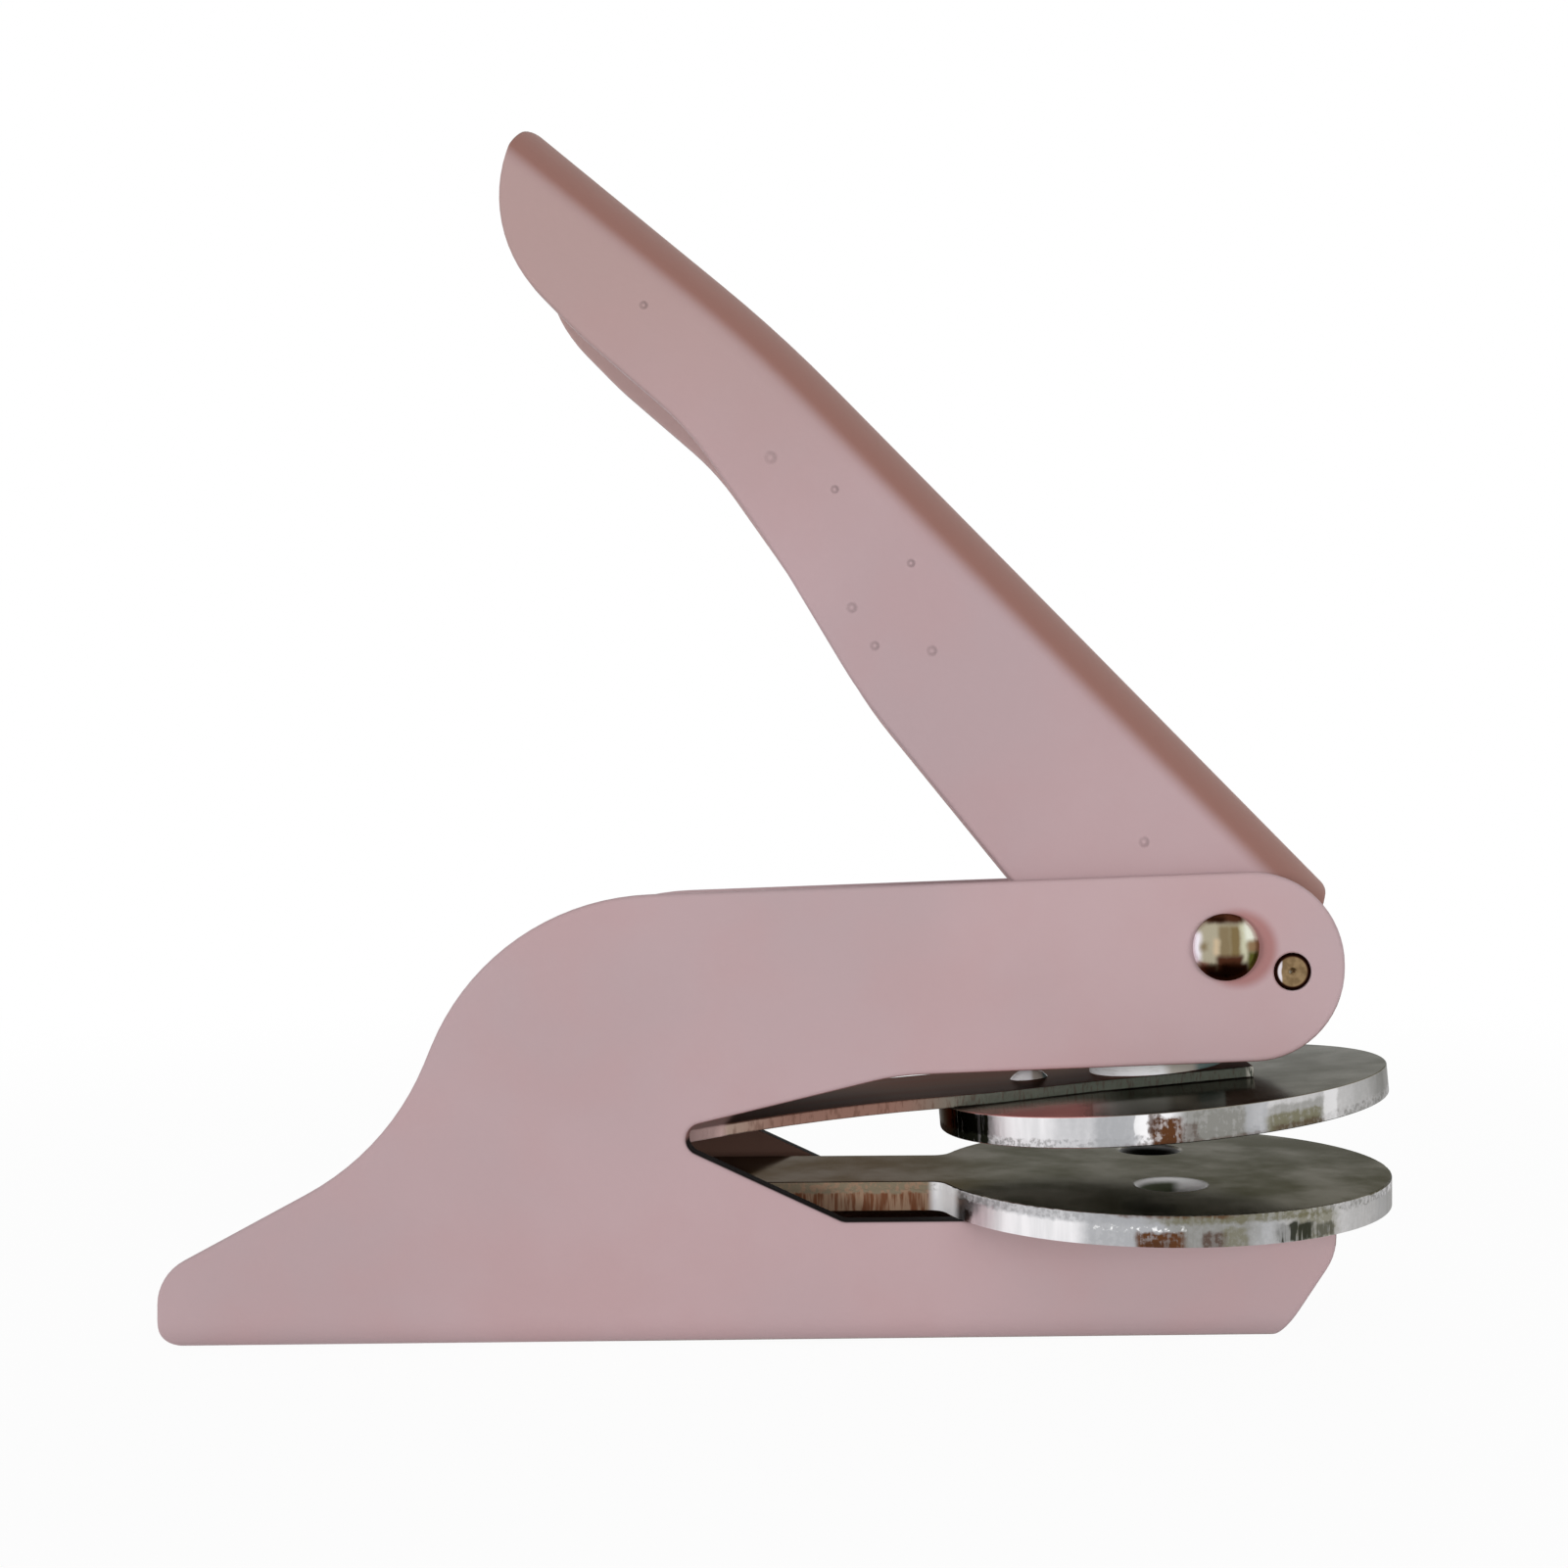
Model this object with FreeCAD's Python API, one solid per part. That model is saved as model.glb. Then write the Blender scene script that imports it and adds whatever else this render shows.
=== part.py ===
"""Hand lever press for embossing seals: a bent steel channel, a nested lever and two round die plates.

All lengths are millimetres and all angles are degrees. X points towards the open throat, Y across the
press and Z up. The origin is on the underside of the base, straight below the centre of the lower plate.
The lever is drawn open, resting on its stop pin, and the sprung jaw is drawn fully raised.
"""
import FreeCAD, Part
import math
import os

# Frame: one steel sheet bent into a channel that is open at the top
frame_width = 26.0
frame_sheet = 2.0
frame_bend = 3.6
frame_edge_round = 0.5
tail_reach = 104.35
tail_height = 8.05
tail_round = 5.0
heel_round = 3.0
hollow_round = 26.5
hump_round = 24.9
arm_reach = 18.05
arm_depth = 19.9
throat_reach = 53.8
throat_height = 22.1
throat_round = 1.6
seat_height = 13.0
toe_reach = 17.15
toe_round = 6.0
toe_corner_round = 1.0
sole_overlap = 0.4

# Share of the tail's reach and of the arm's top height, for the hollow and the hump of the back
hollow_shares = (0.7768, 0.417)
hump_shares = (0.6768, 0.934)
# Shares of the throat's reach, the arm's depth and the seat's height for the smaller corners
lip_reach_share = 0.536
lip_fall_share = 0.081
seat_reach_share = 0.640
toe_height_share = 0.696
sole_reach_share = 0.627
nose_round_share = 0.495

# Pivot rivet and stop pin
pivot_inset = 12.7
pivot_drop = 8.2
rivet_shaft = 4.6
rivet_head = 7.0
rivet_head_rise = 2.3
rivet_head_rim = 0.5
stop_arm = 7.56
stop_pin_angle = 20.1
stop_pin = 3.9
stop_pin_chamfer = 0.3
punch_mark = 0.9
punch_depth = 0.35

# Lever: a channel bent from sheet, open underneath, that nests between the walls of the frame
lever_sheet = 1.7
lever_bend = 5.5
lever_edge_round = 0.45
lever_reach = 113.3
lever_crown = 13.05
lever_belly = 11.0
lever_open_angle = 45.2
lever_swing_angle = 48.0
lever_heel_reach = 3.9
lever_heel_round = 1.5
lever_tip_round = 1.4
stop_face = 3.5
stop_face_round = 0.5
# Lower edge of the lever's walls from the tip to the hub: share of the reach, share of the belly's depth
# below the pivot line, and share of the reach as the corner's radius
lever_edge_shares = (
    (0.969, 0.245, 0.141),
    (0.821, 0.250, 0.353),
    (0.693, 0.145, 0.265),
    (0.556, 0.382, 0.880),
    (0.406, 0.764, 0.440),
    (0.177, 1.000, 0.265),
)
crown_bend_share = 0.706
crown_bend_round = 150.0
tip_crown_share = 0.724
hub_corner_round = 3.0
hub_line_angles = (240.0, 180.0, 150.0)

# Press cam between the lever's walls, its cross rivet and the spacers beside it
cam_start = 6.4
cam_lobe_height = 2.8
cam_rivet_reach = 8.0
cam_rivet_drop = 1.2
cam_rivet_shaft = 3.0
spacer_width = 8.2
cam_run_on_angle = 5.0
cam_points = 9
# Share of the room between the lever's walls that the cam fills
cam_width_share = 0.611
# Directions round the pivot, from the throat's side, that the cam's round back passes through
cam_back_angles = (120.0, 0.0, -70.0)

# Die plates
plate_width = 50.0
lower_plate_width = 51.0
plate_sheet = 3.1
plate_edge_round = 0.15
die_gap = 6.98
jaw_tilt_angle = 5.15
neck_width = 15.4
neck_corner_round = 2.0
die_hole = 4.6
die_hole_sink = 7.8
die_hole_pitch = 20.6
blind_hole_depth = 2.0

# Leaf spring, its root and the post that the cam presses
leaf_sheet = 1.25
leaf_root_width = 19.5
leaf_front_width = 15.0
leaf_taper_round = 12.0
root_front = 72.45
root_rear = 84.95
root_bend_round = 15.0
leaf_bow_round = 245.0
leaf_rise_angle = 12.5
leaf_lift_angle = 3.3
leaf_lift_round = 60.0
post_width = 15.0
post_reach = 0.3
post_dome_round = 11.0
post_rise = 8.58
post_shank = 5.0
leaf_rivet_shaft = 2.4
leaf_rivet_head = 4.2
leaf_rivet_rise = 1.0
root_rivet_shaft = 3.2
root_rivet_head = 4.8
root_rivet_rise = 1.2
# Shares of the upper plate's radius where the leaf starts and stops narrowing, and that the leaf and its
# rivet reach, and shares of the root's length
leaf_taper_shares = (0.96, 0.32)
leaf_front_share = 0.376
leaf_rivet_share = 0.586
root_rivet_shares = (0.33, 0.77)

# Clearances
side_gap = 0.3
running_gap = 0.05
cam_gap = 0.25
flush_gap = 0.1
overrun = 20.0
level_tolerance = 0.05
corner_room_share = 0.98


def vector(x, y, z):
    return FreeCAD.Vector(x, y, z)


jaw_slope = math.radians(jaw_tilt_angle)
jaw_top = seat_height + plate_sheet + die_gap + plate_sheet / math.cos(jaw_slope)
post_top = jaw_top - post_reach * math.sin(jaw_slope) + post_rise
pivot = vector(arm_reach - pivot_inset, 0, post_top + cam_gap + cam_start)
arm_top = pivot.z + pivot_drop
leaf_front_reach = leaf_front_share * plate_width / 2
leaf_rivet_reach = leaf_rivet_share * plate_width / 2


def from_pivot(reach, direction):
    """Point of the middle plane at a distance and an angle from the pivot."""
    angle = math.radians(direction)
    return pivot + vector(math.cos(angle), 0, math.sin(angle)) * reach


across = vector(0, 1, 0)
upwards = vector(0, 0, 1)
stop_place = from_pivot(stop_arm, -stop_pin_angle)
hub_radius = stop_arm - stop_pin / 2 - side_gap
lever_width = frame_width - 2 * frame_sheet - 2 * side_gap
cam_width = cam_width_share * (lever_width - 2 * lever_sheet)


def side_plane(x, z):
    return vector(x, 0, z)


def end_plane(y, z):
    return vector(0, y, z)


def top_plane(x, y):
    return vector(x, y, 0)


def lever_plane(along, above):
    """A point of the open lever, from the pivot towards the tip and square to its crown."""
    slope = math.radians(lever_open_angle)
    x = -along * math.cos(slope) + above * math.sin(slope)
    z = along * math.sin(slope) + above * math.cos(slope)
    return pivot + vector(x, 0, z)


def corner_setbacks(points, radii):
    """How far each tangent arc starts from its corner, kept within the runs beside it."""
    count = len(points)
    setbacks = []
    for index in range(count):
        before = points[index - 1] - points[index]
        after = points[(index + 1) % count] - points[index]
        half_turn = (math.pi - before.getAngle(after)) / 2
        setbacks.append(radii[index] * math.tan(half_turn))
    fits = [1.0] * count
    for index in range(count):
        following = (index + 1) % count
        room = (points[following] - points[index]).Length * corner_room_share
        wanted = setbacks[index] + setbacks[following]
        if wanted > room:
            fits[index] = min(fits[index], room / wanted)
            fits[following] = min(fits[following], room / wanted)
    return [setback * fit for setback, fit in zip(setbacks, fits)]


def rounded_wire(corners, plane):
    """Closed wire through corners (a, b, radius) in a plane, with a tangent arc at each corner."""
    points = [plane(a, b) for a, b, radius in corners]
    setbacks = corner_setbacks(points, [radius for a, b, radius in corners])
    count = len(points)
    arcs = []
    for index in range(count):
        before = (points[index - 1] - points[index]).normalize()
        after = (points[(index + 1) % count] - points[index]).normalize()
        half_angle = before.getAngle(after) / 2
        radius = setbacks[index] * math.tan(half_angle)
        middle = points[index] + (before + after).normalize() * (radius / math.sin(half_angle) - radius)
        start = points[index] + before * setbacks[index]
        end = points[index] + after * setbacks[index]
        arcs.append((start, middle, end))
    edges = []
    for index in range(count):
        start, middle, end = arcs[index]
        if setbacks[index] > 0:
            edges.append(Part.Arc(start, middle, end).toShape())
        edges.append(Part.LineSegment(end, arcs[(index + 1) % count][0]).toShape())
    return Part.Wire(edges)


def prism(wire, centre, direction, length):
    """Solid of a wire, reaching half of a length to each side of a centre along a direction."""
    face = Part.Face(wire)
    face.translate(centre - direction * (length / 2))
    return face.extrude(direction * length)


def cylinder(width, length, base, direction):
    return Part.makeCylinder(width / 2, length, base, direction)


def cross_hole(width, place):
    """Cutter for a round hole through the whole press from side to side."""
    length = frame_width + 2 * overrun
    return cylinder(width, length, place - across * (length / 2), across)


def cone(low_width, high_width, length, base, direction):
    return Part.makeCone(low_width / 2, high_width / 2, length, base, direction)


def dome(width, rise, base, direction):
    """Spherical cap on a flat round base."""
    radius = width / 2
    ball = (radius ** 2 + rise ** 2) / (2 * rise)
    half_angle = math.asin(radius / ball) / 2
    foot = side_plane(radius, 0)
    middle = side_plane(ball * math.sin(half_angle), rise - ball + ball * math.cos(half_angle))
    top = side_plane(0, rise)
    centre = side_plane(0, 0)
    outline = Part.Wire([
        Part.LineSegment(centre, foot).toShape(),
        Part.Arc(foot, middle, top).toShape(),
        Part.LineSegment(top, centre).toShape(),
    ])
    cap = Part.Face(outline).revolve(centre, upwards, 360)
    cap.Placement = FreeCAD.Placement(base, FreeCAD.Rotation(upwards, direction))
    return cap


def joined(first, others):
    return first.fuse(others).removeSplitter()


def softened(solid, radius, chosen):
    """The solid with the edges that a test picks rounded."""
    return solid.makeFillet(radius, [edge for edge in solid.Edges if chosen(edge)])


def lies_at(edge, measure, level):
    """Whether the ends and the middle of an edge all measure the same level."""
    middle = edge.valueAt((edge.FirstParameter + edge.LastParameter) / 2)
    places = [vertex.Point for vertex in edge.Vertexes] + [middle]
    return all(abs(measure(place) - level) < level_tolerance for place in places)


# Frame

def frame_corners():
    """Side outline of the frame, from the tail round the back, the arm, the throat and the toe.

    It runs a little below the base, so that its rounded corners cross the base at an angle.
    """
    arm_bottom = arm_top - arm_depth
    nose_round = nose_round_share * arm_depth
    lip_height = arm_bottom - lip_fall_share * arm_depth
    return [
        (-tail_reach, -sole_overlap, heel_round),
        (-tail_reach, tail_height, tail_round),
        (-hollow_shares[0] * tail_reach, hollow_shares[1] * arm_top, hollow_round),
        (-hump_shares[0] * tail_reach, hump_shares[1] * arm_top, hump_round),
        (arm_reach, arm_top, nose_round),
        (arm_reach, arm_bottom, nose_round),
        (-lip_reach_share * throat_reach, lip_height, hump_round),
        (-throat_reach, throat_height, throat_round),
        (-seat_reach_share * throat_reach, seat_height, throat_round),
        (toe_reach, seat_height, toe_corner_round),
        (toe_reach, toe_height_share * seat_height, toe_round),
        (sole_reach_share * toe_reach, -sole_overlap, frame_sheet),
    ]


def channel_corners(width, floor, bend):
    """End outline of the frame's channel, drawn past the top of the press."""
    top = arm_top + overrun
    return [
        (-width / 2, floor, bend),
        (width / 2, floor, bend),
        (width / 2, top, 0),
        (-width / 2, top, 0),
    ]


def root_rivet_places():
    length = root_rear - root_front
    return [vector(-root_front - share * length, 0, 0) for share in root_rivet_shares]


def root_rivet_holes():
    width = root_rivet_shaft + 2 * running_gap
    return [cylinder(width, overrun, place, upwards) for place in root_rivet_places()]


def is_outer_rim(edge):
    """An edge of the frame's outside faces, but not a hole and not the start of the bend."""
    on_face = lies_at(edge, lambda place: abs(place.y), frame_width / 2)
    along_bend = lies_at(edge, lambda place: place.z, frame_bend)
    return on_face and not along_bend and len(edge.Vertexes) > 1


def make_frame():
    length = 2 * (tail_reach + overrun)
    profile = prism(rounded_wire(frame_corners(), side_plane), vector(0, 0, 0), across, frame_width)
    outside = rounded_wire(channel_corners(frame_width, 0, frame_bend), end_plane)
    inner_width = frame_width - 2 * frame_sheet
    inside = rounded_wire(channel_corners(inner_width, frame_sheet, frame_bend - frame_sheet), end_plane)
    along = vector(1, 0, 0)
    frame = profile.common(prism(outside, vector(0, 0, 0), along, length))
    frame = frame.cut(prism(inside, vector(0, 0, 0), along, length))
    frame = softened(frame, frame_edge_round, is_outer_rim)
    holes = [
        cross_hole(rivet_shaft + 2 * running_gap, pivot),
        cross_hole(stop_pin + 2 * running_gap, stop_place),
    ]
    for place in root_rivet_places():
        holes.append(cylinder(root_rivet_head + 2 * running_gap, flush_gap, place, upwards))
        holes.append(rivet_sink(place, running_gap))
    return frame.cut(holes + root_rivet_holes())


def make_pivot_rivet():
    """Shaft across the frame with a domed head on each side."""
    half = frame_width / 2
    shaft = cylinder(rivet_shaft, frame_width, pivot - across * half, across)
    heads = []
    for side in (-1, 1):
        outwards = across * side
        rim = cylinder(rivet_head, rivet_head_rim, pivot + outwards * half, outwards)
        heads.append(rim)
        rim_top = pivot + outwards * (half + rivet_head_rim)
        heads.append(dome(rivet_head, rivet_head_rise - rivet_head_rim, rim_top, outwards))
    return joined(shaft, heads)


def make_stop_pin():
    """Pin flush with the frame's sides, chamfered and centre punched at both ends."""
    half = frame_width / 2 - flush_gap
    pin = cylinder(stop_pin, 2 * half, stop_place - across * half, across)
    pin = pin.makeChamfer(stop_pin_chamfer, [edge for edge in pin.Edges if edge.Closed])
    marks = []
    for side in (-1, 1):
        end = stop_place + across * (side * half)
        marks.append(cone(punch_mark, 0, punch_depth, end, across * -side))
    return pin.cut(marks)


# Lever

def tangent_crossing(first, second):
    """Where two lines meet that touch the hub circle at the given angles."""
    one = math.radians(first)
    two = math.radians(second)
    reach = hub_radius / math.cos((one - two) / 2)
    middle = (one + two) / 2
    return reach * math.cos(middle), reach * math.sin(middle)


def hub_corners():
    """Corners round the pivot: the hub and the face that meets the stop pin when the lever is open."""
    below, behind, ahead = hub_line_angles
    lean = math.radians(below)
    belly_along = (hub_radius + lever_belly * math.sin(lean)) / math.cos(lean)
    pin_angle = 180 - (lever_open_angle - stop_pin_angle)
    pin_half = math.degrees(math.asin((stop_pin / 2 + running_gap) / stop_arm))
    face_angle = math.radians(pin_angle - pin_half)
    face_start = hub_radius / math.cos(face_angle - math.radians(ahead))
    face_end = hub_radius + stop_face
    return [
        (belly_along, -lever_belly, hub_corner_round),
        tangent_crossing(below, behind) + (hub_radius,),
        tangent_crossing(behind, ahead) + (hub_radius,),
        (face_start * math.cos(face_angle), face_start * math.sin(face_angle), 0),
        (face_end * math.cos(face_angle), face_end * math.sin(face_angle), stop_face_round),
    ]


def lever_corners():
    """Side outline of the lever, from the heel along the crown to the tip and back to the hub."""
    crown = [
        (-lever_heel_reach, lever_crown, lever_heel_round),
        (crown_bend_share * lever_reach, lever_crown, crown_bend_round),
        (lever_reach, tip_crown_share * lever_crown, lever_tip_round),
    ]
    lower_edge = []
    for along, below, radius in lever_edge_shares:
        lower_edge.append((along * lever_reach, -below * lever_belly, radius * lever_reach))
    return crown + lower_edge + hub_corners()


def crown_path(above):
    """Line that follows the crown at a height above the pivot line, drawn past the heel and the tip."""
    bend_along = crown_bend_share * lever_reach
    fall = (1 - tip_crown_share) * lever_crown / (lever_reach - bend_along)
    half_turn = math.atan(fall) / 2
    setback = crown_bend_round * math.tan(half_turn)
    corner = lever_plane(bend_along, above)
    far_along = lever_reach + overrun
    near = lever_plane(-lever_heel_reach - overrun, above)
    far = lever_plane(far_along, above - fall * (far_along - bend_along))
    before = (near - corner).normalize()
    after = (far - corner).normalize()
    inwards = (before + after).normalize()
    middle = corner + inwards * (crown_bend_round / math.cos(half_turn) - crown_bend_round)
    start = corner + before * setback
    end = corner + after * setback
    return Part.Wire([
        Part.LineSegment(near, start).toShape(),
        Part.Arc(start, middle, end).toShape(),
        Part.LineSegment(end, far).toShape(),
    ])


def lever_channel(width, ceiling, bend):
    """Solid under a bent crown: a section with two rounded shoulders, swept past both ends."""
    start = -lever_heel_reach - overrun
    floor = -lever_belly - overrun

    def section_plane(y, above):
        return lever_plane(start, above) + across * y

    section = rounded_wire([
        (-width / 2, ceiling, bend),
        (width / 2, ceiling, bend),
        (width / 2, floor, 0),
        (-width / 2, floor, 0),
    ], section_plane)
    return crown_path(ceiling).makePipe(Part.Face(section))


def make_lever():
    half = lever_width / 2
    outline = prism(rounded_wire(lever_corners(), lever_plane), vector(0, 0, 0), across, lever_width)
    outline = softened(outline, lever_edge_round,
                       lambda edge: lies_at(edge, lambda place: abs(place.y), half))
    outside = outline.common(lever_channel(lever_width, lever_crown, lever_bend))
    inner_width = lever_width - 2 * lever_sheet
    hollow = lever_channel(inner_width, lever_crown - lever_sheet, lever_bend - lever_sheet)
    lever = outside.cut(hollow)
    holes = [
        cross_hole(rivet_shaft + 2 * running_gap, pivot),
        cross_hole(cam_rivet_shaft + 2 * running_gap, cam_rivet_place()),
    ]
    return lever.cut(holes)


def cam_rivet_place():
    return pivot + vector(-cam_rivet_reach, 0, -cam_rivet_drop)


def make_cam_rivet():
    length = lever_width - 2 * flush_gap
    return cylinder(cam_rivet_shaft, length, cam_rivet_place() - across * (length / 2), across)


def make_spacers():
    """A tube on the pivot rivet at each side of the cam."""
    inner_face = lever_width / 2 - lever_sheet
    length = inner_face - cam_width / 2 - 2 * running_gap
    tubes = []
    for side in (-1, 1):
        outwards = across * side
        base = pivot + outwards * (cam_width / 2 + running_gap)
        tube = cylinder(spacer_width, length, base, outwards)
        tubes.append(tube.cut(cylinder(rivet_shaft + 2 * running_gap, length, base, outwards)))
    return Part.makeCompound(tubes)


# Sprung jaw

def jaw_place(along, above):
    """A point of the jaw, from the centre of the upper plate's top face, in the raised position."""
    x = along * math.cos(jaw_slope) - above * math.sin(jaw_slope)
    z = along * math.sin(jaw_slope) + above * math.cos(jaw_slope)
    return vector(x, 0, jaw_top + z)


def jaw_upwards():
    return vector(-math.sin(jaw_slope), 0, math.cos(jaw_slope))


def jaw_holes():
    """Cutters through the leaf and the upper plate for the leaf rivet and the post's shank."""
    cutters = []
    for along, width in ((-leaf_rivet_reach, leaf_rivet_shaft), (-post_reach, post_shank)):
        base = jaw_place(along, -overrun / 2)
        cutters.append(cylinder(width + 2 * running_gap, overrun, base, jaw_upwards()))
    return cutters


def leaf_lower_path():
    """Lower side of the leaf from its rear end: root bend, bow, and its lift off the plate near its rivet."""
    rest_top = seat_height + plate_sheet
    leaving = jaw_place(-leaf_rivet_reach - leaf_rivet_head, 0)
    front = jaw_place(leaf_front_reach, 0)
    lift = math.tan(math.radians(leaf_lift_angle))
    rise = math.tan(math.radians(leaf_rise_angle))
    meet = (leaving.z - lift * leaving.x - rest_top - rise * root_front) / (rise - lift)
    return [
        (-root_rear, rest_top, 0),
        (-root_front, rest_top, root_bend_round),
        (meet, rest_top + rise * (meet + root_front), leaf_bow_round),
        (leaving.x, leaving.z, leaf_lift_round),
        (front.x, front.z, 0),
    ]


def leaf_corners():
    """Closed side outline of the leaf: its lower path and the same path one sheet higher."""
    lower = leaf_lower_path()
    headings = []
    for index in range(len(lower) - 1):
        run = lower[index + 1][0] - lower[index][0]
        climb = lower[index + 1][1] - lower[index][1]
        headings.append(math.atan2(climb, run))
    headings = [headings[0]] + headings + [headings[-1]]
    upper = []
    for index in range(len(lower)):
        before = headings[index]
        after = headings[index + 1]
        middle = (before + after) / 2
        reach = leaf_sheet / math.cos((after - before) / 2)
        bend = leaf_sheet if after < before else -leaf_sheet
        x, z, radius = lower[index]
        upper_radius = radius + bend if radius > 0 else 0
        upper.append((x - reach * math.sin(middle), z + reach * math.cos(middle), upper_radius))
    return lower + upper[::-1]


def leaf_plan_corners():
    """Outline of the leaf from above, drawn past both of its ends: it narrows over the plate's rear."""
    rear, front = [share * plate_width / 2 for share in leaf_taper_shares]
    far = [
        (-root_rear - overrun, leaf_root_width / 2, 0),
        (-rear, leaf_root_width / 2, leaf_taper_round),
        (-front, leaf_front_width / 2, leaf_taper_round),
        (leaf_front_reach + overrun, leaf_front_width / 2, 0),
    ]
    return far + [(x, -y, radius) for x, y, radius in reversed(far)]


def make_leaf():
    strip = prism(rounded_wire(leaf_corners(), side_plane), vector(0, 0, 0), across, leaf_root_width)
    plan = prism(rounded_wire(leaf_plan_corners(), top_plane), vector(0, 0, 0), upwards, 2 * arm_top)
    return strip.common(plan).cut(root_rivet_holes() + jaw_holes())


def make_upper_plate():
    """Round plate with two blind locating holes underneath, and holes for the rivet and the post."""
    low = jaw_place(0, -plate_sheet)
    up = jaw_upwards()
    plate = cylinder(plate_width, plate_sheet, low, up)
    plate = softened(plate, plate_edge_round, lambda edge: edge.Closed)
    cuts = []
    for side in (-1, 1):
        place = low + across * (side * die_hole_pitch / 2)
        sink = (die_hole_sink - die_hole) / 2
        cuts.append(cylinder(die_hole, blind_hole_depth, place, up))
        cuts.append(cone(die_hole_sink, die_hole, sink, place, up))
    return plate.cut(cuts + jaw_holes())


def make_leaf_rivet():
    up = jaw_upwards()
    foot = jaw_place(-leaf_rivet_reach, flush_gap - plate_sheet)
    shaft = cylinder(leaf_rivet_shaft, plate_sheet + leaf_sheet - flush_gap, foot, up)
    head = dome(leaf_rivet_head, leaf_rivet_rise, jaw_place(-leaf_rivet_reach, leaf_sheet), up)
    return joined(shaft, [head])


def post_ball_centre():
    """Centre of the post's domed crown, whose highest point the cam presses."""
    height = post_top - post_dome_round
    above = (height - jaw_place(-post_reach, 0).z) / math.cos(jaw_slope)
    return jaw_place(-post_reach, above)


def make_post():
    """Round post on the leaf, with a shank through the plate and a ball shaped crown."""
    up = jaw_upwards()
    ball = Part.makeSphere(post_dome_round, post_ball_centre())
    column = cylinder(post_width, post_dome_round, jaw_place(-post_reach, leaf_sheet), up)
    crown = column.common(ball)
    foot = jaw_place(-post_reach, flush_gap - plate_sheet)
    shank = cylinder(post_shank, plate_sheet + leaf_sheet - flush_gap, foot, up)
    return joined(crown, [shank])


# Press cam

def cam_lead():
    """Travel of the post for one radian of the lever, which is the cam's base circle radius."""
    return pivot.x - post_ball_centre().x


def cam_point(turn):
    """Point of the cam that faces straight down when the lever has turned by an angle."""
    normal = math.radians(270 - turn)
    height = cam_start + cam_lead() * math.radians(turn)
    x = height * math.cos(normal) + cam_lead() * math.sin(normal)
    z = height * math.sin(normal) - cam_lead() * math.cos(normal)
    return pivot + vector(x, 0, z)


def make_cam():
    """Block whose lower side is an involute, so that it lowers the post evenly as the lever turns."""
    turns = []
    for index in range(cam_points):
        turns.append((lever_swing_angle + cam_run_on_angle) * index / (cam_points - 1))
    face = Part.BSplineCurve()
    face.interpolate([cam_point(turn) for turn in turns])
    first = cam_point(turns[0])
    last = cam_point(turns[-1])
    lobe = last + upwards * cam_lobe_height
    shoulder, right, bottom = [from_pivot(hub_radius, angle) for angle in cam_back_angles]
    outline = Part.Wire([
        face.toShape(),
        Part.LineSegment(last, lobe).toShape(),
        Part.LineSegment(lobe, shoulder).toShape(),
        Part.Arc(shoulder, right, bottom).toShape(),
        Part.LineSegment(bottom, first).toShape(),
    ])
    cam = prism(outline, vector(0, 0, 0), across, cam_width)
    holes = [
        cross_hole(rivet_shaft + 2 * running_gap, pivot),
        cross_hole(cam_rivet_shaft + 2 * running_gap, cam_rivet_place()),
    ]
    return cam.cut(holes)


# Lower plate and root

def is_neck_corner(edge):
    """An upright edge where the neck of the lower plate runs into its disc."""
    beside = lies_at(edge, lambda place: abs(place.y), neck_width / 2)
    upright = abs(edge.BoundBox.ZLength - plate_sheet) < level_tolerance
    return beside and upright and edge.BoundBox.XMin > -lower_plate_width / 2


def make_lower_plate():
    """Round plate with a neck that reaches back to the root block."""
    top = seat_height + plate_sheet
    disc = cylinder(lower_plate_width, plate_sheet, upwards * seat_height, upwards)
    neck = Part.makeBox(root_rear, neck_width, plate_sheet, vector(-root_rear, -neck_width / 2, seat_height))
    plate = softened(joined(disc, [neck]), neck_corner_round, is_neck_corner)
    plate = softened(plate, plate_edge_round, lambda edge: lies_at(edge, lambda place: place.z, top))
    cuts = []
    for side in (-1, 1):
        place = vector(0, side * die_hole_pitch / 2, top)
        sink = (die_hole_sink - die_hole) / 2
        cuts.append(cylinder(die_hole, overrun, place - upwards * (overrun / 2), upwards))
        cuts.append(cone(die_hole_sink, die_hole, sink, place, upwards * -1))
    return plate.cut(cuts + root_rivet_holes())


def make_root_block():
    """Spacer that carries the neck and the leaf above the floor of the frame."""
    length = root_rear - root_front
    block = Part.makeBox(length, neck_width, seat_height - frame_sheet,
                         vector(-root_rear, -neck_width / 2, frame_sheet))
    return block.cut(root_rivet_holes())


def rivet_sink(place, gap):
    """Cone of the flush rivet head under the frame, or of its seat when a gap is given."""
    width = root_rivet_shaft + 2 * gap
    return cone(width + root_rivet_head - root_rivet_shaft, width, frame_sheet / 2, place + upwards * flush_gap, upwards)


def make_root_rivets():
    """Two long rivets: flush under the frame, domed above the leaf."""
    top = seat_height + plate_sheet + leaf_sheet
    rivets = []
    for place in root_rivet_places():
        shaft = cylinder(root_rivet_shaft, top - flush_gap, place + upwards * flush_gap, upwards)
        head = dome(root_rivet_head, root_rivet_rise, place + upwards * top, upwards)
        rivets.append(joined(shaft, [rivet_sink(place, 0), head]))
    return Part.makeCompound(rivets)


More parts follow.
